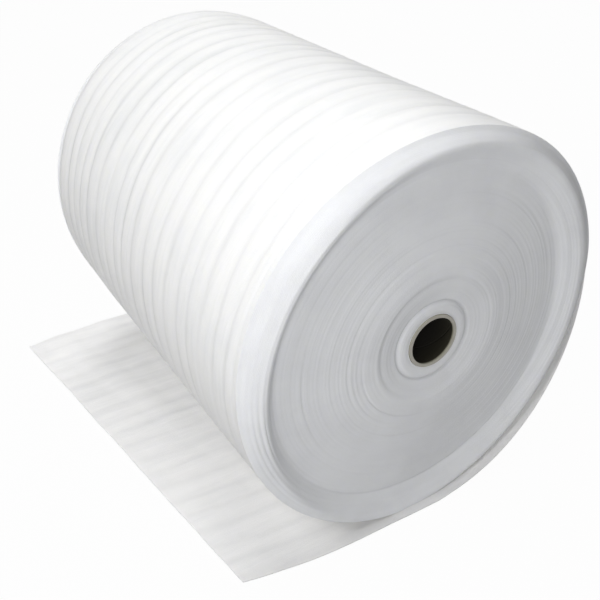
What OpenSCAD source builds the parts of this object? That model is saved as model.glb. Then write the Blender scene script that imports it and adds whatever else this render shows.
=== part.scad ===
// Roll of ribbed packing foam on a paperboard core, lying on its side with its free end run out.
// Millimetres, +Z up, roll axis along Y. The origin is on the floor, under the middle of the roll.
// The end at -Y is the one with the raised rim, and the free end of the sheet runs out towards -X.

/* [Foam sheet] */
// Width of the foam sheet, which is the length of the roll
sheet_w = 750; // [400:10:1500]
// Thickness of the sheet
sheet_t = 1.5; // [1:0.5:4]
// Distance from one rib of the sheet to the next
rib_pitch = 40; // [25:1:80]
// Height of a rib over the groove beside it
rib_h = 2; // [1:0.25:4]
// Width of the groove between two ribs
groove_w = 10; // [4:1:20]
// How far the grooves stray from an even spacing
rib_wander = 3; // [0:0.5:5]

/* [Roll] */
// Diameter of the wound roll over its ribs
roll_d = 628; // [450:2:800]
// Height that the weight of the roll presses out of its lowest line
roll_sag = 1.2; // [0.8:0.1:1.6]
// Width of the flat spot that the roll lies on
flat_spot_w = 50; // [20:5:60]

/* [Core] */
// Inside diameter of the paperboard core
core_id = 76.2; // [50:0.1:110]
// Wall of the paperboard core
core_wall = 5; // [2:0.5:10]
// How far each end of the core stands back from the edge of the sheet
core_back = 3; // [0:0.5:10]
// Gap between the core and the first turn
core_fit = 0.5; // [0.1:0.1:1]

/* [Turns at the ends] */
// Number of wound turns between two turn lines that show
turns_per_line = 6; // [4:1:9]
// Depth of a turn line
line_depth = 1.6; // [0.5:0.1:3]
// Width of a turn line
line_w = 2; // [1:0.1:4]
// Thickness of the tight turns on the core, inside the first turn line
tight_turns = 22; // [10:1:40]
// Turn lines from the first of the two deep ones to the second
deep_line_step = 4; // [2:1:8]
// Depth of a deep turn line
deep_line_depth = 3.6; // [2:0.1:5]

/* [Raised rim] */
// Width of the raised rim, from the outside of the roll to the foot of its inner wall
rim_w = 48; // [30:1:70]
// Width of the stepped shoulder outside the crest of the rim
shoulder_w = 24; // [12:1:28]
// How far the outermost turn stands back from the sheet's nominal edge
shoulder_back = 8; // [0:0.5:15]
// How far the crest of the rim stands out from the sheet's nominal edge
crest_out = 6; // [2:0.5:15]
// How far the face stands back at the foot of the rim's inner wall
face_back = 12; // [4:0.5:20]
// Number of steps in the shoulder
shoulder_steps = 3; // [2:1:5]
// Number of steps in the inner wall of the rim
wall_steps = 5; // [3:1:7]

/* [Free end] */
// Length of the free end from under the axis of the roll to its shorter corner
tail_short = 321; // [250:1:600]
// Length of the free end from under the axis of the roll to its longer corner
tail_long = 417; // [250:1:700]
// How far each edge of the slack sheet lies outside the wound turns
slack_spread = 20; // [0:1:30]
// Length of free edge over which that spread fades out
spread_fade = 250; // [100:10:300]
// How far the slack turn stays on the floor past the lowest line of the roll
slack_run = 16; // [10:1:40]
// How much smaller the radius of the slack turn is than that of the roll
slack_tuck = 15; // [10:1:30]
// Height at which the edges of the slack turn have drawn in to those of the outermost wound turn
slack_high = 480; // [300:10:600]

/* [Hidden] */
$fn = 128;

roll_r = roll_d / 2;
axis_z = roll_r - roll_sag;
half_w = sheet_w / 2;
core_r = core_id / 2 + core_wall;
core_len = sheet_w - 2 * core_back;
bore_r = core_r + core_fit;
clear = 5;

// Ribs: broad flat bands with narrow grooves between them
rib_count = round(sheet_w / rib_pitch);
rib_span = sheet_w / rib_count;
groove_share = groove_w / 2 / rib_span;
wander_turn = 137.5;
edge_trim = 0.5;

// Turn lines: one spiral, drawn as half rings about two centres that lie half a pitch apart
line_pitch = turns_per_line * sheet_t;
first_line_r = core_r + tight_turns;
foot_r = roll_r - rim_w;
line_count = floor((foot_r - first_line_r - 2 * line_w) / line_pitch) + 1;
tooth_root = 0.6;
half_ring_gap = 0.1;

// The face is flat out to gentle_r, and leans back from there to the foot of the rim
gentle_r = first_line_r + (deep_line_step + 1) * line_pitch;
crest_r = roll_r - shoulder_w;
shoulder_step = shoulder_w / shoulder_steps;
shoulder_rise = (shoulder_back + crest_out) / shoulder_steps;
wall_step = (rim_w - shoulder_w) / wall_steps;
wall_drop = (crest_out + face_back) / wall_steps;

// The slack turn is an arc that leaves the floor at slack_run and dives under the outer turns
seat_z = 0.8;
sheet_reach = half_w + slack_spread;
slack_r = roll_r - slack_tuck;
slack_low = axis_z - slack_r;
slack_off = norm([slack_run, slack_low]);
tuck_in = 4.6;
slack_sweep = 90 - atan2(slack_low, slack_run) + acos((slack_tuck - tuck_in) / slack_off);
edge_steps = 8;

function groove_y(i) = -half_w + i * rib_span + rib_wander * sin(i * wander_turn);
rib_table = [
    for (i = [-2 : rib_count + 1], u = [0, groove_share, 1 - groove_share])
        [groove_y(i) + u * (groove_y(i + 1) - groove_y(i)), u == 0 ? rib_h : 0]
];

// Points [depth, y] of the ribbed face from y0 up to y1
function ribbed(y0, y1) = concat(
    [[lookup(y0, rib_table), y0]],
    [for (p = rib_table) if (p[0] > y0 + edge_trim && p[0] < y1 - edge_trim) [p[1], p[0]]],
    [[lookup(y1, rib_table), y1]]
);
function reversed(list) = [for (i = [len(list) - 1 : -1 : 0]) list[i]];

// How far the turns at radius r stand out at the -Y end, and stand in at the other
function dish(r) = r < gentle_r ? 0 : -face_back * (r - gentle_r) / (foot_r - gentle_r);

// Points [radius, stand-out] of one end, from the bore out to the last step of the shoulder, whose
// outer corner is the first point of the ribs: face, stepped wall, then stepped shoulder
end_points = concat(
    [[bore_r, 0], [gentle_r, 0], [foot_r, -face_back]],
    [for (k = [1 : wall_steps], e = [-1, 0])
        [foot_r + (k + e) * wall_step, k * wall_drop - face_back]],
    [for (k = [1 : shoulder_steps], e = [-1, 0])
        if (k + e < shoulder_steps)
        [crest_r + (k + e) * shoulder_step, crest_out - k * shoulder_rise]]
);

// Turns a shape's profile, drawn as [radius, y], round an axis along Y at height z and place x
module about_axis(x, z, from, sweep) {
    translate([x, 0, z])
        rotate([90, 0, 0])
        mirror([0, 0, 1])
        rotate_extrude(angle = sweep, start = from)
        children();
}

// The wound turns with the raised rim, cut level where they rest
module wound_turns() {
    near_y = -half_w + shoulder_back;
    far_y = half_w + shoulder_back;
    difference() {
        about_axis(0, axis_z, 0, 360)
            polygon(concat(
                [for (p = end_points) [p[0], -half_w - p[1]]],
                [for (p = ribbed(near_y, far_y)) [roll_r - p[0], p[1]]],
                [for (p = reversed(end_points)) [p[0], half_w - p[1]]]
            ));
        translate([-roll_r, -sheet_w, seat_z - 2 * clear])
            cube([roll_d, 2 * sheet_w, 2 * clear]);
    }
}

// One tooth of the comb below, as points [radius, y]: its tip lies at the depth of a turn line
function line_tooth(r, depth, end) = let (half = line_w / 2 * (1 + tooth_root / depth)) [
    [r - half, end * (half_w + tooth_root) - dish(r - half)],
    [r, end * (half_w - depth) - dish(r)],
    [r + half, end * (half_w + tooth_root) - dish(r + half)]
];
function depth_of(k) = (k == 0 || k == deep_line_step) ? deep_line_depth : line_depth;

// Half ring with teeth that cut the turn lines: side 1 is +X and -1 is -X, end -1 is -Y and 1 is +Y
module line_comb(side, end) {
    shift = side > 0 ? 0 : line_pitch / 2;
    back_y = end * (half_w + face_back + clear);
    teeth = [
        for (k = [0 : line_count - 1])
            each line_tooth(first_line_r + k * line_pitch - shift, depth_of(k), end)
    ];
    about_axis(0, axis_z + shift, half_ring_gap - side * 90, 180 - 2 * half_ring_gap)
        polygon(concat(teeth, [[teeth[len(teeth) - 1][0], back_y], [teeth[0][0], back_y]]));
}

// Cross-section of the sheet, ribbed on both faces, as [distance below the crest of a rib, y]
module sheet_section() {
    outside = ribbed(-sheet_reach, sheet_reach);
    polygon(concat(
        [for (p = outside) [-p[0], p[1]]],
        [for (p = reversed(outside)) [-p[0] - sheet_t, p[1]]]
    ));
}

// One edge of the slack turn seen along X, as points [y, z] from the floor up to slack_high
function slack_edge(end) = [
    for (k = [0 : edge_steps]) let (share = pow(1 - k / edge_steps, 2))
        [end * half_w + shoulder_back + share * (end * slack_spread - shoulder_back), slack_high * k / edge_steps]
];

// The last turn, which hangs slack outside the roll on the side away from the free end. Its edges
// draw in from their spread on the floor to those of the outermost wound turn.
module slack_turn() {
    intersection() {
        about_axis(slack_run, slack_r, -90, slack_sweep)
            translate([slack_r, 0])
            sheet_section();
        rotate([90, 0, 90])
            linear_extrude(height = roll_d)
            polygon(concat(
                [[-sheet_reach, -clear]],
                slack_edge(-1),
                [[shoulder_back - half_w, 2 * roll_d], [shoulder_back + half_w, 2 * roll_d]],
                reversed(slack_edge(1)),
                [[sheet_reach, -clear]]
            ));
    }
}

// How far the edge of the free sheet lies outside the nominal edge, at distance x from the free corner
function spread_at(x) = slack_spread * (1 - pow(1 - x / spread_fade, 2));

// One edge of the free end seen from above, from its corner at -reach inwards
function free_edge(reach, end) = [
    for (k = [0 : edge_steps]) let (x = spread_fade * k / edge_steps) [x - reach, end * (half_w + spread_at(x))]
];

// The free end of the sheet, flat on the floor from the slack turn out to its slanted cut
module free_end() {
    intersection() {
        translate([slack_run, 0, 0])
            rotate([0, -90, 0])
            linear_extrude(height = tail_long + tail_short)
            mirror([1, 0])
            sheet_section();
        linear_extrude(height = sheet_t + 2 * rib_h)
            polygon(concat(
                free_edge(tail_short, -1),
                [[slack_run, -sheet_reach], [slack_run, sheet_reach]],
                reversed(free_edge(tail_long, 1))
            ));
    }
}

// All the turns of the foam sheet and its free end, as one piece
module foam_roll() {
    color("white")
    union() {
        difference() {
            wound_turns();
            line_comb(1, -1);
            line_comb(-1, -1);
            line_comb(1, 1);
            line_comb(-1, 1);
        }
        slack_turn();
        free_end();
        translate([-flat_spot_w / 2, -half_w, 0])
            cube([flat_spot_w, sheet_w, rib_h + seat_z]);
    }
}

// The paperboard tube that the foam is wound on
module core_tube() {
    color("tan")
    translate([0, core_len / 2, axis_z])
        rotate([90, 0, 0])
        difference() {
            cylinder(r = core_r, h = core_len);
            translate([0, 0, -clear])
                cylinder(d = core_id, h = core_len + 2 * clear);
        }
}

foam_roll();
core_tube();
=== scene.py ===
import math

import bpy
import numpy as np
from mathutils import Matrix, Vector


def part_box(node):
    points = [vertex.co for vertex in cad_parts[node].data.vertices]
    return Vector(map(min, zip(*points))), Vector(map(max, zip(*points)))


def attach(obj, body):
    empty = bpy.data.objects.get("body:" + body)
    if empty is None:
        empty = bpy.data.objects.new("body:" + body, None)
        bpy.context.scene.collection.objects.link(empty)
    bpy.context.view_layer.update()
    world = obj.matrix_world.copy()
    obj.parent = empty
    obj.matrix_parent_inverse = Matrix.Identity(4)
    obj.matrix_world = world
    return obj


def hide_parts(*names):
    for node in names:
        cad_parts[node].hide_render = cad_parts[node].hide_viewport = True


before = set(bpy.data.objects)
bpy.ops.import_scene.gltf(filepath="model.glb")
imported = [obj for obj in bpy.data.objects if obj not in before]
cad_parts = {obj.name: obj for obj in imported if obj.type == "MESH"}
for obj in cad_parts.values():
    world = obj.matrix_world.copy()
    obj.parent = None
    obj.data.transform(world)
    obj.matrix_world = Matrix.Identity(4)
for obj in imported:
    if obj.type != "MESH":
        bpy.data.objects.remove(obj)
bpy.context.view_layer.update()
coreLow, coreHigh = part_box("core_tube")
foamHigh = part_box("foam_roll")[1]
print("frame loaded")

# Sizes that both pieces of foam share, in metres, taken from the frame where it has them
roll = {
    "axisZ": (coreLow.z + coreHigh.z) / 2,
    "radius": foamHigh.z - (coreLow.z + coreHigh.z) / 2,
    "halfWidth": coreHigh.y + 0.003,
    "edgeBack": 0.008,       # how far the outermost turn stands back at the near end, and out at the far end
    "edgeTrim": 0.002,       # no row of a rib lies closer to an edge than this
    "sheetThick": 0.0015,
    "ribCount": 19,
    "ribHeight": 0.002,
    "ribCrown": 0.15,        # share of that height that the broad crown of a rib takes
    "grooveWidth": 0.0068,   # half the width of the soft valley between two ribs, and then on the free end
    "sheetGrooveWidth": 0.0095,
    "firstGroove": -0.394,   # where groove 0 would lie, just off the near end
    "ribPitch": 0.0405,
    # how far each groove lies from that even spacing, in millimetres
    "strays": (0, 0, 0, -4, 0, -3, -8, -4, -3, -4, 4, 6, 0, 0, 4, 12, 8, 4, 0, 0, 0),
    "sheetGroove": -0.413,   # the same start and spacing on the free end
    "sheetPitch": 0.0392,
    "ribWaver": 0.0014,      # how far a groove wavers on its way round, with the fewest and most waves
    "waverWaves": (1, 9),
    "ribJog": 0.0005,        # the small ragged jogs in a groove
    "jogWaves": (24, 60),
    "waverFade": 0.05,       # both fade out this close to the ends
    "nearLean": 0.01,        # how far the grooves are pulled towards the near end, on the -X side
    "farLean": 0.029,
    "sideLeanAt": (188, 39),     # angle and spread of that pull, in degrees round the roll
    "topLean": 0.006,        # and how far towards the far end, on top
    "topLeanAt": (95, 16),
    "leanStart": (-0.37, -0.31),     # the places along the roll between which both set in
}
ribRows = (0, 0.035, 0.075, 0.12, 0.175, 0.3, 0.5, 0.7, 0.825, 0.88, 0.925, 0.965)   # places across one rib


def smoothStep(value, low, high):
    share = np.clip((value - low) / (high - low), 0, 1)
    return share * share * (3 - 2 * share)


# 1 at one angle round the roll and close to 0 away from it; both angles in degrees
def bell(angle, middle, width):
    return np.exp((np.cos(angle - math.radians(middle)) - 1) / math.radians(width) ** 2)


# A size that changes round the roll, from its values at some angles in degrees
def roundSize(places, sizes, angle):
    aside = (-12, -6, 0, 6, 12)
    return sum(np.interp(np.degrees(angle) + lean, places, sizes, period=360) for lean in aside) / len(aside)


# A smooth wandering value of about -1 to 1, with waves of about one period
def drift(seed, along, period, terms=6):
    rng = np.random.RandomState(seed)
    total = 0
    for _ in range(terms):
        length = period * rng.uniform(0.6, 1.8)
        total = total + np.sin(2 * np.pi * along / length + rng.uniform(0, 2 * np.pi))
    return total / math.sqrt(terms)


# The same once round the roll, so that it closes on itself; lean lets the waves drift across the rows
def roundDrift(seed, angle, slowest, fastest, lean=0, terms=8):
    rng = np.random.RandomState(seed)
    total = 0
    for _ in range(terms):
        total = total + np.sin(rng.randint(slowest, fastest) * angle + rng.uniform(-1, 1) * lean
                               + rng.uniform(0, 2 * np.pi))
    return total / math.sqrt(terms)


# 1 in the middle of the soft valley between two ribs, and 0 beside it
def valleyShare(share, width):
    toGroove = np.minimum(share, 1 - share) * roll["ribPitch"]
    return np.exp(-(toGroove / width) ** 2)


# Height lost across one rib: a broad low crown with a valley at each side
def ribDepth(share, width):
    crown = roll["ribCrown"]
    return roll["ribHeight"] * ((1 - crown) * valleyShare(share, width) + crown * (1 - np.sin(np.pi * share)))


# How far the winding has drawn the ribs along the roll at a place on its outside
def leanAt(y, angle):
    share = y / (2 * roll["halfWidth"]) + 0.5
    sideLean = roll["nearLean"] + (roll["farLean"] - roll["nearLean"]) * share
    towardsNear = sideLean * bell(angle, *roll["sideLeanAt"])
    towardsFar = roll["topLean"] * (1 - share) * bell(angle, *roll["topLeanAt"])
    return (towardsFar - towardsNear) * smoothStep(y, *roll["leanStart"])


# How far groove number index wavers from its place, at an angle round the roll
def waverAt(y, angle, index):
    waver = roll["ribWaver"] * roundDrift(11, angle, *roll["waverWaves"], 2.4 * index)
    jog = roll["ribJog"] * roundDrift(12, angle, *roll["jogWaves"], 5.1 * index)
    return (waver + jog) * smoothStep(roll["halfWidth"] - np.abs(y), 0, roll["waverFade"])


# How far it lies from the even spacing; index may lie between two grooves
def strayAt(index):
    return np.interp(index, np.arange(len(roll["strays"])), roll["strays"]) / 1000


# Place of groove number index along the roll, at an angle round it
def grooveY(index, angle):
    even = roll["firstGroove"] + index * roll["ribPitch"]
    return even + strayAt(index) + waverAt(even, angle, index) + leanAt(even, angle)


# Where a groove would lie across the slack turn and the free end if all were evenly spaced
def sheetNominal(index):
    return roll["sheetGroove"] + index * roll["sheetPitch"]


# Where it does lie; no winding has drawn it along there
def sheetGrooveY(index, angle):
    return sheetNominal(index) + strayAt(index) + waverAt(sheetNominal(index), angle, index)


def newPiece(name):
    bpy.ops.object.select_all(action="DESELECT")
    bpy.ops.mesh.primitive_plane_add(size=0.01)
    piece = bpy.context.object
    piece.name = name
    piece.data.name = name
    return piece


# Collapses the new plane to one vertex and draws it out from point to point
def drawProfile(piece, points):
    bpy.ops.object.mode_set(mode="EDIT")
    bpy.ops.mesh.select_all(action="SELECT")
    bpy.ops.mesh.merge(type="CENTER")
    bpy.ops.transform.translate(value=points[0])
    for start, end in zip(points, points[1:]):
        step = [b - a for a, b in zip(start, end)]
        bpy.ops.mesh.extrude_region_move(TRANSFORM_OT_translate={"value": step})


# Joins the two ends of the profile and spins it round the roll's axis; the seam stays open
def spinRound(piece, steps):
    bpy.ops.object.mode_set(mode="OBJECT")
    ends = (0, len(piece.data.vertices) - 1)
    for vertex in piece.data.vertices:
        vertex.select = vertex.index in ends
    bpy.ops.object.mode_set(mode="EDIT")
    bpy.ops.mesh.select_mode(type="VERT")
    bpy.ops.mesh.edge_face_add()
    bpy.ops.mesh.select_all(action="SELECT")
    bpy.ops.mesh.spin(steps=steps, angle=2 * math.pi, center=(0, 0, roll["axisZ"]), axis=(0, 1, 0),
                      use_auto_merge=False)
    bpy.ops.object.mode_set(mode="OBJECT")


def vertexPlaces(piece):
    flat = np.empty(len(piece.data.vertices) * 3)
    piece.data.vertices.foreach_get("co", flat)
    return flat.reshape(-1, 3)


# Vertices of a spun piece as an array [step round, place on the profile, xyz], and the order they are in
def spunGrid(piece, points):
    blocks = vertexPlaces(piece).reshape(-1, len(points), 3)
    order = [int(np.argmin(np.sum((blocks[0] - np.array(p)) ** 2, axis=1))) for p in points]
    return blocks, order


# How deep in a gap or valley each vertex lies, from 0 to 1, for the material, as painted shade that darkens
# its colour there
def paintGapShade(piece, values):
    gap = piece.data.attributes.new("gap", "FLOAT", "POINT")
    gap.data.foreach_set("value", np.asarray(values, float))


def closeSeam(piece):
    bpy.ops.object.mode_set(mode="EDIT")
    bpy.ops.mesh.select_all(action="SELECT")
    bpy.ops.mesh.remove_doubles(threshold=0.00001)
    bpy.ops.mesh.select_all(action="DESELECT")
    bpy.ops.mesh.select_non_manifold(extend=False, use_multi_face=False, use_non_contiguous=False,
                                     use_verts=False, use_wire=False)
    bpy.ops.mesh.fill_holes(sides=0)
    bpy.ops.mesh.select_all(action="SELECT")
    bpy.ops.mesh.normals_make_consistent(inside=False)
    bpy.ops.object.mode_set(mode="OBJECT")


# The near end, by angle round the roll in degrees: radii of the foot and crest of its raised rim, and how
# far the crest and the outermost turn stand out
nearEnd = {
    "angles": (0, 30, 60, 100, 135, 170, 190, 215, 240, 270, 300, 330),
    "foot": (0.251, 0.253, 0.264, 0.266, 0.262, 0.262, 0.262, 0.268, 0.274, 0.272, 0.268, 0.26),
    "crest": (0.286, 0.29, 0.296, 0.291, 0.279, 0.275, 0.279, 0.292, 0.31, 0.311, 0.303, 0.289),
    "crestOut": (0.006, 0.006, 0.006, 0.006, 0.006, 0.006, 0.006, 0.007, 0.012, 0.01, 0.006, 0.006),
    "edgeOut": (-0.008, -0.008, -0.009, -0.015, -0.023, -0.02, -0.01, -0.005, 0.008, 0.009, 0, -0.008),
    "footOut": -0.012,
    "bowlRadius": 0.116,
    "bowlMiddle": (0.2, -0.0075),        # a place on the way down to the foot: radius, and how far out
    "bowlFoot": 0.262,                   # the foot's radius where that place was set
    # where the inner wall of the rim rises late, or early: angle, spread and how much
    "lateWall": ((90, 20, 0.5), (172, 22, 0.5), (30, 25, -0.25)),
    "shoulderCurve": 1.5,
    "hubRadii": (0.0436, 0.047, 0.057, 0.064, 0.067, 0.084, 0.098),
    "hubOut": (-0.0046, -0.004, -0.0036, -0.0064, -0.0046, -0.003, -0.0012),
    "stepRadius": 0.0975,                # where the tight turns end in a step, and how much it moves round
    "stepLean": 0.004,
    "stepLeanAt": 60,
    "stepWidth": 0.005,
    "stepFaded": 0.009,                  # how much wider the step is on the side away from its sharp part
    "stepFadedAt": (-40, 60),
    "soften": 0.005,                     # how far the crest and the foot of the rim are rounded
}

# The wound turns: every ring at the ends is an edge of the sheet, and each runs into the next as a spiral
wound = {
    "steps": 168,
    "ringPitch": 0.003,          # two turns of the sheet
    "firstRing": 0.0472,
    "lastRing": 0.3115,
    "offset": 0.00013,           # how far neighbouring turns slide past each other
    "lineDepth": 0.0001,
    "strongLine": 0.0006,
    # single gaps: radius, middle angle, how far round they run, depth, how much painted shade darkens them,
    # half width; one with no depth is only a band of painted shade
    "lines": ((0.0652, 0, 400, 0.0016, 0.75, 0.0022), (0.0652, 170, 40, 0.0006, 0.5, 0.003),
              (0.0652, 55, 20, 0.0006, 0.5, 0.0025), (0.0465, 140, 60, 0.0005, 0.5, 0.0016),
              (0.08, 160, 48, 0, 0.36, 0.009), (0.105, 20, 40, 0.0004, 0.15, 0.002),
              (0.1265, 225, 26, 0.0012, 0.4, 0.0013), (0.141, 205, 20, 0.0006, 0.25, 0.0013),
              (0.185, 25, 26, 0.0008, 0.3, 0.0013), (0.225, 30, 30, 0.0009, 0.3, 0.0013),
              (0.232, 34, 18, 0.0006, 0.3, 0.0013), (0.219, 187, 12, 0.0009, 0.35, 0.0013),
              (0.206, 340, 24, 0.0006, 0.2, 0.0013), (0.241, 355, 22, 0.0007, 0.2, 0.0013),
              (0.163, 250, 24, 0.0005, 0.15, 0.0013), (0.172, 120, 30, 0.0005, 0.2, 0.0013),
              (0.283, 194, 13, 0.0012, 0.35, 0.0013), (0.29, 197, 13, 0.0014, 0.4, 0.0013),
              (0.297, 200, 13, 0.0014, 0.45, 0.0013), (0.304, 204, 12, 0.0012, 0.4, 0.0013)),
    # two more, which follow the foot of the rim and the step of the hub, this far outside them
    "footLine": (0.001, 282, 34, 0.0016, 0.7, 0.0013),
    "stepLine": (0.001, 145, 46, 0.001, 0.6, 0.0042),
    "grooveStart": (-0.355, -0.31),      # places along the roll between which the grooves set in
    "grooveFull": (-0.26, 0.1),          # and between which they grow to their full depth
    "grooveFirst": 0.55,                 # from this share of it
    "lump": 0.0004,
    "bulges": ((60, 22, 0.0032), (5, 12, 0.002)),    # angle, spread and height, at the near end
    "bulgeFade": (-0.36, -0.02),
    "pulled": 0.02,              # how far the far end of the outer turns is drawn in on the -X side
    "pulledAt": (173, 37),
    "pulledFrom": 0.268,
    "drop": 0.003,               # how far the roll narrows there
    "dropAt": (180, 36),
    "dropFade": (0.2, 0.37),
    "curl": 0.003,               # how far the far edge curls inwards there
    "curlAt": (148, 42),
    "curlWidth": 0.016,
    "nearBlend": 0.05,           # how far from each end its shape still moves the ribs
    "farBlend": 0.03,
    "cover": 0.0018,             # how far the turns lie inside the slack one
    "coverMiddle": -41,
    "coverFade": (0.574, 0.743),     # cosines of the angles from that middle between which it sets in
    "flatZ": 0.0021,             # the turns rest this high, on top of the free end
}


# Radii of the foot and the crest of the rim, and how far the crest and the outermost turn stand out
def nearSizes(angle):
    names = ("foot", "crest", "crestOut", "edgeOut")
    return [roundSize(nearEnd["angles"], nearEnd[name], angle) for name in names]


def stepAt(angle):
    return nearEnd["stepRadius"] + nearEnd["stepLean"] * np.cos(angle - math.radians(nearEnd["stepLeanAt"]))


# How far the turns at a radius stand out at the near end: the tight turns on the core, then all the rest
def hubOut(radius, angle):
    width = nearEnd["stepWidth"] + nearEnd["stepFaded"] * bell(angle, *nearEnd["stepFadedAt"])
    onHub = 1 - smoothStep(radius - stepAt(angle), -width / 4, width)
    return onHub * np.interp(radius, nearEnd["hubRadii"], nearEnd["hubOut"])


def rimOut(radius, angle):
    foot, crest, crestOut, edgeOut = nearSizes(angle)
    bowl, (middle, middleOut) = nearEnd["bowlRadius"], nearEnd["bowlMiddle"]
    bowlHalf = (middle - bowl) / (nearEnd["bowlFoot"] - bowl)
    late = 1
    for turnedTo, spread, amount in nearEnd["lateWall"]:
        late = late + amount * bell(angle, turnedTo, spread)
    total = 0
    for aside in np.linspace(-nearEnd["soften"], nearEnd["soften"], 5):
        place = radius + aside
        inward = np.clip((place - bowl) / (foot - bowl), 0, 1)
        face = np.interp(inward, (0, bowlHalf, 1), (0, middleOut, nearEnd["footOut"]))
        wall = np.clip((place - foot) / (crest - foot), 0, 1)
        rim = nearEnd["footOut"] + (crestOut - nearEnd["footOut"]) * wall ** late
        shoulder = np.clip((place - crest) / np.maximum(roll["radius"] - crest, 0.0005), 0, 1)
        outer = crestOut + (edgeOut - crestOut) * shoulder ** nearEnd["shoulderCurve"]
        total = total + np.where(place < foot, face, np.where(place < crest, rim, outer)) / 5
    return total


# Gaps between turns: how deep, and how much painted shade darkens them, from 0 to 1
def gapsIn(radius, turn, angle, isGap):
    strong = np.clip(drift(25, turn, 3.1) - 0.7, 0, 1)
    strong = strong * np.clip(0.5 + 0.5 * roundDrift(26, angle, 1, 3), 0, 1) * isGap
    patch = np.clip(0.5 + 0.6 * roundDrift(28, angle, 2, 9, 1.7 * turn), 0, 1.4)
    depth = wound["lineDepth"] * isGap * patch + wound["strongLine"] * strong
    # painted shade in the strongest gaps
    paintedShade = 0.3 * strong
    foot = nearSizes(angle)[0]
    (footAside, *footLine), (stepAside, *stepLine) = wound["footLine"], wound["stepLine"]
    moving = ((foot + footAside, *footLine), (stepAt(angle) + stepAside, *stepLine))
    for place, middle, spread, deep, paintedDark, width in wound["lines"] + moving:
        across = np.exp(-((radius - place) / width) ** 2) * bell(angle, middle, spread)
        depth = depth + deep * across
        paintedShade = np.maximum(paintedShade, paintedDark * across)
    return depth, paintedShade


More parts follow.
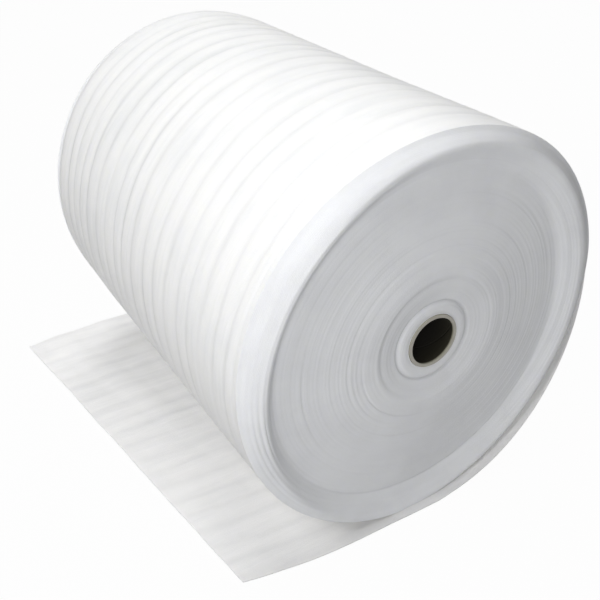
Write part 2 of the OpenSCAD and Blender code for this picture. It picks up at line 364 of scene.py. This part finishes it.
def makeWoundFoam():
    half, radius, axisZ = roll["halfWidth"], roll["radius"], roll["axisZ"]
    ringStep = wound["ringPitch"] / 2
    ringCount = int((wound["lastRing"] - wound["firstRing"]) / ringStep) + 1
    rings = [(wound["firstRing"] + k * ringStep, k) for k in range(ringCount)]
    boreRadius = nearEnd["hubRadii"][0]
    nearY, farY = -half + roll["edgeBack"], half + roll["edgeBack"]

    # one row of vertices for each entry: which side it is on, its radius, its y and its number
    table = [(-1, boreRadius, -half, -1)] + [(-1, r, -half, k) for r, k in rings]
    table.append((0, radius, nearY, -1))
    for rib in range(roll["ribCount"] + 1):
        for share in ribRows:
            y = float(grooveY(rib, 0.0) + share * (grooveY(rib + 1, 0.0) - grooveY(rib, 0.0)))
            if nearY + roll["edgeTrim"] < y < farY - roll["edgeTrim"]:
                table.append((0, radius, y, rib + share))
    table.append((0, radius, farY, -1))
    table += [(1, r, half, k) for r, k in reversed(rings)] + [(1, boreRadius, half, -1)]

    piece = newPiece("woundFoam")
    points = [(r, y, axisZ) for _, r, y, _ in table]
    drawProfile(piece, points)
    spinRound(piece, wound["steps"])
    blocks, order = spunGrid(piece, points)
    grid = blocks[:, order, :]
    angle = np.unwrap(np.arctan2(grid[:, 0, 2] - axisZ, grid[:, 0, 0]))[:, None]
    side, startRadius, startY, number = [np.array(column, float)[None, :] for column in zip(*table)]

    # the ends: the rings draw in by one pitch a turn
    isRing = (side != 0) & (number >= 0)
    turn = number / 2 - angle / (2 * np.pi)
    ringRadius = np.where(isRing, wound["firstRing"] + wound["ringPitch"] * turn, startRadius)
    hub, rest = hubOut(ringRadius, angle), rimOut(ringRadius, angle)
    slide = wound["offset"] * (drift(21, turn, 7) + 0.7 * drift(22, turn, 2.6)) * isRing
    gaps = gapsIn(ringRadius, turn, angle, number % 2 == 0)
    line, paintedShade = [np.where(isRing, part, 0) for part in gaps]
    pull = wound["pulled"] * bell(angle, *wound["pulledAt"])
    nearOut = hub + rest + slide
    farOut = hub - rest - slide - pull * smoothStep(ringRadius, wound["pulledFrom"], radius)
    endY = side * (half - line + np.where(side < 0, nearOut, farOut))

    # along the outside: the ribs lie where the grooves are, and follow the shape of the ends close to them
    isRib = (side == 0) & (number >= 0)
    rib, share = np.floor(number), number - np.floor(number)
    ribY = grooveY(rib, angle) + share * (grooveY(rib + 1, angle) - grooveY(rib, angle))
    outsideY = np.where(isRib, ribY, startY)
    edgeOut = rimOut(radius, angle)
    nearShift = -half - edgeOut - nearY
    farShift = half - edgeOut - pull - farY
    farShift = np.where(isRib, farShift - leanAt(half, angle), farShift)
    toNear = 1 - smoothStep(startY - nearY, 0, wound["nearBlend"])
    toFar = np.where(isRib, 1 - smoothStep(farY - startY, 0, wound["farBlend"]), 1)
    outsideY = outsideY + nearShift * toNear + farShift * toFar * (startY > 0)

    # across it: valleys, lumps, and the turns a little closer in where the slack turn covers them
    groove = roundDrift(13, angle, 1, 6, 3.3 * np.round(number))
    growth = wound["grooveFirst"] + (1 - wound["grooveFirst"]) * smoothStep(startY, *wound["grooveFull"])
    strength = smoothStep(startY, *wound["grooveStart"]) * growth
    depth = ribDepth(np.where(isRib, share, 0.2), roll["grooveWidth"])
    depth = depth * np.clip(0.85 + 0.3 * groove, 0.4, 1.3) * (0.4 + 0.6 * strength)
    lump = wound["lump"] * roundDrift(27, angle, 2, 12, 9 * startY)
    for middle, spread, height in wound["bulges"]:
        lump = lump + height * bell(angle, middle, spread) * (1 - smoothStep(startY, *wound["bulgeFade"]))
    drop = wound["drop"] * bell(angle, *wound["dropAt"]) * smoothStep(startY, *wound["dropFade"])
    curl = wound["curl"] * bell(angle, *wound["curlAt"]) * smoothStep(startY, farY - wound["curlWidth"], farY)
    fromCover = angle - math.radians(wound["coverMiddle"])
    covered = wound["cover"] * smoothStep(np.cos(fromCover), *wound["coverFade"])
    outsideRadius = radius - depth + (lump - drop - curl) * (side == 0) - covered

    r = np.where(side == 0, outsideRadius, ringRadius)
    y = np.where(side == 0, outsideY, endY)
    blocks[:, order, 0] = r * np.cos(angle)
    blocks[:, order, 1] = y
    blocks[:, order, 2] = np.maximum(axisZ + r * np.sin(angle), wound["flatZ"])
    piece.data.vertices.foreach_set("co", blocks.reshape(-1))
    # painted shade: the valleys between the ribs on the outside and the gaps between the turns at the ends
    # darken the material's colour
    paintedDark = np.zeros(blocks.shape[:2])
    valley = valleyShare(share, roll["grooveWidth"]) * np.clip(0.75 + 0.5 * groove, 0.2, 1.3) * strength
    paintedDark[:, order] = np.where(isRib, valley, paintedShade)
    paintGapShade(piece, paintedDark.reshape(-1))
    closeSeam(piece)
    return piece


# The slack last turn and the free end: one sheet, from where it leaves the roll to its slanted cut
sheet = {
    "run": 0.016,                # where it meets the floor, past the lowest line of the roll
    "tuck": 0.015,               # how much smaller its radius is than the roll's
    "topAngle": 14,
    "soften": 0.002,             # how gently it comes away from the roll, and between which angles
    "softenFrom": (-50, -25),
    "sink": 0.0004,
    "arcSteps": 76,
    "floorSteps": 64,
    "tailShort": 0.321,
    "tailLong": 0.417,
    "nearSpread": 0.0225,        # how far its edges lie outside the wound turns at the floor
    "farSpread": 0.017,
    "nearFade": 0.2,             # length of free edge over which that spread fades out
    "farFade": 0.25,
    "drawnIn": 0.475,            # height at which its edges have drawn in to those of the turns
    "waverFade": 0.02,           # the grooves run straight this close to its edges
    "tailRib": 0.42,             # how much of the ribs is left on the free end
    "tailTurn": 1.2,             # the free end counts as this much more of a turn where the grooves waver
    "wave": 0.0012,              # how high the free end stands off the floor in places
    "waveLength": 0.16,
    "waveFrom": (0.1, 0.3),      # distances from the axis between which that sets in
    "pressed": (0.03, 0.06),     # and between which the weight of the roll stops flattening the ribs
    "flatWidth": 0.79,           # the slack turn and the free end laid flat; the cut makes the area smaller
    "flatLength": 0.976,
    "flatArea": 0.71,
}


# Path of the slack turn from its top down to the floor: x, z and the angle round the roll
def slackPath(count):
    slackRadius = roll["radius"] - sheet["tuck"]
    turnAngle = np.radians(np.linspace(sheet["topAngle"], -90, count))
    x = sheet["run"] + slackRadius * np.cos(turnAngle)
    z = slackRadius + slackRadius * np.sin(turnAngle)
    away = np.hypot(x, z - roll["axisZ"])
    angle = np.arctan2(z - roll["axisZ"], x)
    gap = away - roll["radius"]
    soft = (gap + np.sqrt(gap ** 2 + sheet["soften"] ** 2)) / 2 - sheet["sink"]
    upper = smoothStep(angle, *np.radians(sheet["softenFrom"]))
    away = roll["radius"] + gap + (soft - gap) * upper
    return away * np.cos(angle), roll["axisZ"] + away * np.sin(angle), angle


def makeFreeSheet():
    half = roll["halfWidth"]
    first, last = [(edge - roll["sheetGroove"]) / roll["sheetPitch"] for edge in (-half, half)]
    places = [rib + share for rib in range(roll["ribCount"] + 2) for share in ribRows]
    places = [place for place in places if abs(sheetNominal(place)) < half - roll["edgeTrim"]]
    across = np.array([first] + places + [last], float)[None, :]
    rows, columns = sheet["arcSteps"] + sheet["floorSteps"], across.size
    bpy.ops.object.select_all(action="DESELECT")
    bpy.ops.mesh.primitive_grid_add(x_subdivisions=columns - 1, y_subdivisions=rows - 1, size=1)
    piece = bpy.context.object
    piece.name = "freeSheet"
    piece.data.name = "freeSheet"

    arcX, arcZ, arcAngle = [values[:, None] for values in slackPath(sheet["arcSteps"] + 1)]
    floorShare = (np.arange(1, sheet["floorSteps"]) / (sheet["floorSteps"] - 1))[:, None]
    slant = sheet["tailLong"] - sheet["tailShort"]
    tail = sheet["tailShort"] + slant * (sheetNominal(across) / half + 1) / 2
    floorX = sheet["run"] - floorShare * (sheet["run"] + tail)
    x = np.vstack([arcX + 0 * across, floorX])
    z = np.vstack([arcZ + 0 * across, 0 * floorX])
    angle = np.vstack([arcAngle, -np.pi / 2 - floorShare * sheet["tailTurn"]])

    # the edges stand out beyond the wound turns, least at the top and at the free corners
    risen = np.where(x > 0, np.clip(1 - z / sheet["drawnIn"], 0, 1) ** 2, 1)
    nearFree = 1 - (1 - np.clip((x + tail) / sheet["nearFade"], 0, 1)) ** 2
    farFree = 1 - (1 - np.clip((x + tail) / sheet["farFade"], 0, 1)) ** 2
    nearEdge = -half + roll["edgeBack"] * (1 - risen) - risen * nearFree * sheet["nearSpread"]
    farEdge = half + roll["edgeBack"] * (1 - risen) + risen * farFree * sheet["farSpread"]
    rib, share = np.floor(across), across - np.floor(across)
    place = sheetGrooveY(rib, angle) + share * (sheetGrooveY(rib + 1, angle) - sheetGrooveY(rib, angle))
    inside = smoothStep(half - np.abs(sheetNominal(across)), 0, sheet["waverFade"])
    place = sheetNominal(across) + inside * (place - sheetNominal(across))
    y = nearEdge + (place + half) / (2 * half) * (farEdge - nearEdge)

    # outward direction in the xz plane, square to the path
    alongX, alongZ = np.gradient(x, axis=0), np.gradient(z, axis=0)
    length = np.hypot(alongX, alongZ)
    outX, outZ = -alongZ / length, alongX / length
    ribShare = smoothStep(np.hypot(x, z), *sheet["pressed"]) * np.where(x < 0, sheet["tailRib"], 1)
    inward = ribDepth(share, roll["sheetGrooveWidth"]) * ribShare
    x = x - outX * inward
    z = z - outZ * inward
    rise = drift(31, x + 0.3 * y, sheet["waveLength"]) + 0.7 * drift(32, y - 0.4 * x, sheet["waveLength"])
    onFloor = angle < -np.pi / 2
    z = z + np.maximum(rise, 0) * sheet["wave"] * smoothStep(-x, *sheet["waveFrom"]) * onFloor

    # each vertex of the grid goes to its place, and then the sheet gets its thickness
    corners = vertexPlaces(piece)
    column = np.rint((corners[:, 0] + 0.5) * (columns - 1)).astype(int)
    row = np.rint((corners[:, 1] + 0.5) * (rows - 1)).astype(int)
    moved = np.stack([x[row, column], y[row, column], z[row, column]], axis=1)
    piece.data.vertices.foreach_set("co", moved.reshape(-1))
    # painted shade in the valleys between the ribs of the slack turn and the free end
    paintGapShade(piece, (valleyShare(share, roll["sheetGrooveWidth"]) * ribShare)[row, column])
    bpy.ops.object.mode_set(mode="EDIT")
    bpy.ops.mesh.select_all(action="SELECT")
    bpy.ops.mesh.normals_make_consistent(inside=False)
    bpy.ops.object.mode_set(mode="OBJECT")
    middle = piece.data.polygons[len(piece.data.polygons) // 2]
    awayFromRoll = Vector((middle.center.x, 0, middle.center.z - roll["axisZ"]))
    thick = piece.modifiers.new("thickness", "SOLIDIFY")
    thick.thickness = roll["sheetThick"]
    thick.offset = -1 if middle.normal.dot(awayFromRoll) > 0 else 1
    bpy.ops.object.modifier_apply(modifier=thick.name)
    return piece


# Wraps a socket, so that shader maths reads as plain expressions
class Value:
    def __init__(self, shader, socket):
        self.shader = shader
        self.socket = socket

    # Another output of the same node
    def output(self, name):
        return Value(self.shader, self.socket.node.outputs[name])

    def __add__(self, other):
        return self.shader.maths("ADD", self, other)

    def __radd__(self, other):
        return self.shader.maths("ADD", other, self)

    def __sub__(self, other):
        return self.shader.maths("SUBTRACT", self, other)

    def __rsub__(self, other):
        return self.shader.maths("SUBTRACT", other, self)

    def __mul__(self, other):
        return self.shader.maths("MULTIPLY", self, other)

    def __rmul__(self, other):
        return self.shader.maths("MULTIPLY", other, self)

    def __truediv__(self, other):
        return self.shader.maths("DIVIDE", self, other)

    def __rtruediv__(self, other):
        return self.shader.maths("DIVIDE", other, self)

    def __pow__(self, other):
        return self.shader.maths("POWER", self, other)


# The nodes of a new material or world
class Shader:
    def __init__(self, owner):
        self.owner = owner
        owner.use_nodes = True
        self.tree = owner.node_tree
        self.surface = self.tree.nodes.get("Principled BSDF")

    # Adds a node, sets its settings and then its sockets, and gives back one of its outputs
    def add(self, kind, settings=None, sockets=None, output=0):
        node = self.tree.nodes.new(kind)
        for name, value in (settings or {}).items():
            setattr(node, name, value)
        for name, value in (sockets or {}).items():
            self.feed(node.inputs[name], value)
        return Value(self, node.outputs[output])

    def maths(self, operation, first, second=0.0):
        return self.add("ShaderNodeMath", {"operation": operation}, {0: first, 1: second})

    def feed(self, target, value):
        if isinstance(value, Value):
            self.tree.links.new(value.socket, target)
        else:
            target.default_value = value

    def place(self):
        return self.add("ShaderNodeTexCoord", output="Object")

    # Place from the middle of the roll's axis, as x, y and z
    def fromAxis(self):
        x = self.add("ShaderNodeSeparateXYZ", {}, {0: self.place()})
        return x, x.output("Y"), x.output("Z") - roll["axisZ"]

    def noise(self, scale, detail, stretch=(1, 1, 1)):
        spot = self.add("ShaderNodeMapping", {}, {"Vector": self.place(), "Scale": stretch})
        return self.add("ShaderNodeTexNoise", {}, {"Vector": spot, "Scale": scale, "Detail": detail})

    # 0 below low, 1 above high, and smooth between
    def ramp(self, value, low, high):
        return self.add("ShaderNodeMapRange", {"interpolation_type": "SMOOTHSTEP"},
                        {"Value": value, "From Min": low, "From Max": high})

    def blend(self, factor, first, second):
        node = {"data_type": "RGBA"}
        return self.add("ShaderNodeMix", node, {0: factor, 6: first, 7: second}, output=2)

    # Bump from a height in metres
    def bump(self, height):
        return self.add("ShaderNodeBump", {}, {"Height": height, "Distance": 1.0, "Strength": 1.0})


# Foam: white, a little translucent, with fine closed cells and faint clouds where it is thin
foamLook = {
    "thick": (0.93, 0.93, 0.925, 1),
    "thin": (0.86, 0.868, 0.872, 1),
    "sheetThick": (0.93, 0.925, 0.91, 1),
    "sheetThin": (0.86, 0.86, 0.852, 1),
    "edgeThick": (0.9, 0.912, 0.935, 1),
    "edgeThin": (0.84, 0.85, 0.872, 1),
    # the grey that painted shade blends the foam towards, in valleys and gaps
    "gap": (0.45, 0.455, 0.46, 1),
    "paintedGapShade": 0.22,            # how much painted shade darkens a valley, then a gap between the turns
    "edgePaintedGapShade": 0.5,
    "roughness": (0.62, 0.2),    # lowest, and how much it varies
    "cellScale": 650,
    "cellBump": 0.00025,
    "cloudScale": 9,
    "crinkleStretch": (10, 70, 10),
    "crinkleBump": 0.0011,
    "thinShares": (0.5, 0.35, 0.15),     # how much clouds, crinkles and cells say about where it is thin
    "thinFrom": (0.4, 0.68),
    "glow": 0.25,                # how much light goes through the foam, and how far for red, green and blue
    "glowReach": (0.006, 0.006, 0.005),
    "paintedHairline": 0.18,            # how much painted shade darkens the line between two turns, and where it shows
    "hairlineEdges": (0.7, 1.0),
    "patchScale": 26,
    "patchEdges": (0.42, 0.7),
    "edgeFacing": 0.55,          # a face turned this far towards an end is a cut edge
    "smoothAngle": 50,
}


def foamSurface(name, thickShade, thinShade, paintedGapShade):
    shader = Shader(bpy.data.materials.new(name))
    cells = shader.noise(foamLook["cellScale"], 2)
    clouds = shader.noise(foamLook["cloudScale"], 4)
    crinkle = shader.noise(1, 4, foamLook["crinkleStretch"])
    cloudShare, crinkleShare, cellShare = foamLook["thinShares"]
    thinness = clouds * cloudShare + crinkle * crinkleShare + cells * cellShare
    thin = shader.ramp(thinness, *foamLook["thinFrom"])
    # painted shade from the mesh, which darkens the colour in valleys and gaps
    gap = shader.add("ShaderNodeAttribute", {"attribute_name": "gap"}, output="Fac")
    colour = shader.blend(thin, thickShade, thinShade)
    shader.feed(shader.surface.inputs["Base Color"], shader.blend(gap * paintedGapShade, colour, foamLook["gap"]))
    lowest, varies = foamLook["roughness"]
    shader.feed(shader.surface.inputs["Roughness"], lowest + varies * clouds)
    height = crinkle * foamLook["crinkleBump"] + cells * foamLook["cellBump"]
    shader.feed(shader.surface.inputs["Normal"], shader.bump(height))
    shader.feed(shader.surface.inputs["Subsurface Weight"], foamLook["glow"])
    shader.feed(shader.surface.inputs["Subsurface Radius"], foamLook["glowReach"])
    shader.feed(shader.surface.inputs["Subsurface Scale"], 1.0)
    return shader


# The cut edges of the turns: the same foam, with a hairline of painted shade between each turn and the next
def foamEdges():
    shader = foamSurface("foam edges", foamLook["edgeThick"], foamLook["edgeThin"], foamLook["edgePaintedGapShade"])
    x, _, z = shader.fromAxis()
    away = (x * x + z * z) ** 0.5
    turn = away / roll["sheetThick"] + shader.maths("ARCTAN2", z, x) / (2 * math.pi)
    offCentre = shader.maths("ABSOLUTE", shader.maths("FRACT", turn) - 0.5) * 2
    # painted shade: a thin ring between each turn and the next, shown in patches
    gap = shader.ramp(offCentre, *foamLook["hairlineEdges"])
    patchy = shader.ramp(shader.noise(foamLook["patchScale"], 3), *foamLook["patchEdges"])
    colour = Value(shader, shader.surface.inputs["Base Color"].links[0].from_socket)
    mixed = shader.blend(gap * patchy * foamLook["paintedHairline"], colour, foamLook["gap"])
    shader.feed(shader.surface.inputs["Base Color"], mixed)
    return shader


# The core: brown paperboard, with painted shade that makes it nearly black down the bore and a little lighter
# some way in from the mouth, with pale paper at the mouth, a spiral seam and pale cut ends
coreLook = {
    "fibreScale": 60,
    "fibreStretch": (1, 6, 1),
    "fibreBump": 0.0003,
    "roughness": (0.75, 0.2),
    "seamPitch": 0.12,
    "seamEdges": (0.485, 0.498),
    "seamBump": 0.0006,
    "seamShare": 0.4,
    "seam": (0.003, 0.0025, 0.002, 1),
    # painted shade: the bore is coloured nearly black where little light reaches, then painted light makes it
    # a little lighter some way in from the mouth
    "bore": ((0.004, 0.003, 0.002, 1), (0.01, 0.007, 0.004, 1)),
    "paintedBoreLight": (0.024, 0.021, 0.01, 1),
    "mouth": (0.5, 0.48, 0.38, 1),
    "cut": ((0.42, 0.4, 0.35, 1), (0.56, 0.54, 0.48, 1)),
    # how far in from the edge of the sheet each of the last three starts and is whole
    "paintedBoreLightFrom": (0.05, 0),
    "mouthFrom": (0.0075, 0.0035),
    "cutFrom": (0.0036, 0.0031),
}


def paperboard():
    shader = Shader(bpy.data.materials.new("paperboard"))
    x, y, z = shader.fromAxis()
    fibres = shader.noise(coreLook["fibreScale"], 5, coreLook["fibreStretch"])
    winding = y / coreLook["seamPitch"] + shader.maths("ARCTAN2", z, x) / (2 * math.pi)
    offCentre = shader.maths("ABSOLUTE", shader.maths("FRACT", winding) - 0.5)
    seam = shader.ramp(offCentre, *coreLook["seamEdges"])
    # painted shade down the bore
    colour = shader.blend(fibres, *coreLook["bore"])
    colour = shader.blend(seam * coreLook["seamShare"], colour, coreLook["seam"])
    outwards = shader.maths("ABSOLUTE", y)
    cut = shader.blend(fibres, *coreLook["cut"])
    layers = {"paintedBoreLight": coreLook["paintedBoreLight"], "mouth": coreLook["mouth"], "cut": cut}
    for name, shade in layers.items():
        start, whole = [roll["halfWidth"] - depth for depth in coreLook[name + "From"]]
        colour = shader.blend(shader.ramp(outwards, start, whole), colour, shade)
    lowest, varies = coreLook["roughness"]
    height = fibres * coreLook["fibreBump"] - seam * coreLook["seamBump"]
    shader.feed(shader.surface.inputs["Base Color"], colour)
    shader.feed(shader.surface.inputs["Roughness"], lowest + varies * fibres)
    shader.feed(shader.surface.inputs["Normal"], shader.bump(height))
    return shader


# Gives a piece its materials, a second one on its cut edges, and joins it to the frame
def finishPiece(piece, shaders, bodyNodes):
    piece.data.materials.clear()
    for shader in shaders:
        piece.data.materials.append(shader.owner)
    if len(shaders) > 1:
        facing = np.empty(len(piece.data.polygons) * 3)
        piece.data.polygons.foreach_get("normal", facing)
        atEnd = np.abs(facing.reshape(-1, 3)[:, 1]) > foamLook["edgeFacing"]
        piece.data.polygons.foreach_set("material_index", atEnd.astype(int))
    bpy.ops.object.select_all(action="DESELECT")
    piece.select_set(True)
    bpy.context.view_layer.objects.active = piece
    bpy.ops.object.shade_smooth_by_angle(angle=math.radians(foamLook["smoothAngle"]))
    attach(piece, "root")
    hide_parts(*bodyNodes)


woundFoam = makeWoundFoam()
print("wound turns:", len(woundFoam.data.polygons), "faces")
freeSheet = makeFreeSheet()
print("free sheet:", len(freeSheet.data.polygons), "faces")
foamOutside = foamSurface("foam outside", foamLook["thick"], foamLook["thin"], foamLook["paintedGapShade"])
foamSheet = foamSurface("foam sheet", foamLook["sheetThick"], foamLook["sheetThin"], foamLook["paintedGapShade"])
finishPiece(woundFoam, [foamOutside, foamEdges()], ["foam_roll"])
finishPiece(freeSheet, [foamSheet], ["foam_roll"])
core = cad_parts["core_tube"]
core.data.materials.clear()
core.data.materials.append(paperboard().owner)
print("materials done")

# Studio: pale floor and four soft lamps, each aimed at the roll
studio = {
    "fill": 0.12,
    "aim": (0.0, 0.0, 0.3),
    "lamps": {                   # direction round the object and height in degrees, power, distance and size
        "top": (112, 75, 42, 4.0, 2.0),
        "left": (190, 46, 43, 3.0, 1.5),
        "front": (242, 24, 12.8, 2.1, 1.1),
        "back": (55, 38, 42, 4.0, 2.0),
    },
    "floorSize": 60,
    "floorZ": -0.0004,           # just below the part, so that the two faces don't flicker
    "floorShade": (0.5, 0.5, 0.5, 1),
    "floorRoughness": 0.9,
    "whiteShare": 0.975,         # how much of the floor the camera sees as plain white
}


def makeFloor():
    bpy.ops.object.select_all(action="DESELECT")
    bpy.ops.mesh.primitive_plane_add(size=studio["floorSize"], location=(0, 0, studio["floorZ"]))
    floor = bpy.context.object
    floor.name = "floor"
    shader = Shader(bpy.data.materials.new("floor"))
    shader.feed(shader.surface.inputs["Base Color"], studio["floorShade"])
    shader.feed(shader.surface.inputs["Roughness"], studio["floorRoughness"])
    isCamera = shader.add("ShaderNodeLightPath")
    white = shader.add("ShaderNodeEmission", {}, {"Color": (1, 1, 1, 1), "Strength": 1.0})
    seen = shader.maths("MINIMUM", isCamera + isCamera.output("Is Glossy Ray"), 1.0)
    surface = Value(shader, shader.surface.outputs[0])
    mixed = shader.add("ShaderNodeMixShader", {}, {0: seen * studio["whiteShare"], 1: surface, 2: white})
    shader.feed(shader.tree.nodes["Material Output"].inputs["Surface"], mixed)
    floor.data.materials.append(shader.owner)


# The world: plain white to the camera, and a weak even fill light on the object
def makeWorld():
    world = bpy.data.worlds.new("studio")
    bpy.context.scene.world = world
    shader = Shader(world)
    isCamera = shader.add("ShaderNodeLightPath")
    fill = shader.add("ShaderNodeBackground", {}, {"Color": (1, 1, 1, 1), "Strength": studio["fill"]})
    white = shader.add("ShaderNodeBackground", {}, {"Color": (1, 1, 1, 1), "Strength": 1.0})
    mixed = shader.add("ShaderNodeMixShader", {}, {0: isCamera, 1: fill, 2: white})
    shader.feed(shader.tree.nodes["World Output"].inputs["Surface"], mixed)


def makeLamps():
    for name, (turn, height, power, distance, size) in studio["lamps"].items():
        light = bpy.data.lights.new(name, "AREA")
        light.shape = "DISK"
        light.size = size
        light.energy = power
        lamp = bpy.data.objects.new(name, light)
        bpy.context.scene.collection.objects.link(lamp)
        towards = Matrix.Rotation(math.radians(turn), 3, "Z") @ Matrix.Rotation(math.radians(-height), 3, "Y")
        away = towards @ Vector((distance, 0, 0))
        lamp.location = Vector(studio["aim"]) + away
        lamp.rotation_euler = (-away).to_track_quat("-Z", "Y").to_euler()


# Camera of the photo, which is 600 pixels wide
photo = {
    "width": 600,
    "focal": 812.4,              # in pixels of the photo
    "place": (-0.6739, -1.0834, 0.9784),
    "yaw": 32.13,
    "pitch": -31.92,
    "roll": 0.69,
}


def makeCamera():
    lens = bpy.data.cameras.new("camera")
    lens.sensor_width = 36
    lens.lens = lens.sensor_width * photo["focal"] / photo["width"]
    camera = bpy.data.objects.new("camera", lens)
    bpy.context.scene.collection.objects.link(camera)
    camera.matrix_world = (Matrix.Translation(photo["place"])
                           @ Matrix.Rotation(math.radians(-photo["yaw"]), 4, "Z")
                           @ Matrix.Rotation(math.radians(90 + photo["pitch"]), 4, "X")
                           @ Matrix.Rotation(math.radians(photo["roll"]), 4, "Z"))
    bpy.context.scene.camera = camera


makeFloor()
makeWorld()
makeLamps()
makeCamera()
bpy.context.scene.view_settings.view_transform = "Standard"
print("studio done")

bpy.context.view_layer.update()
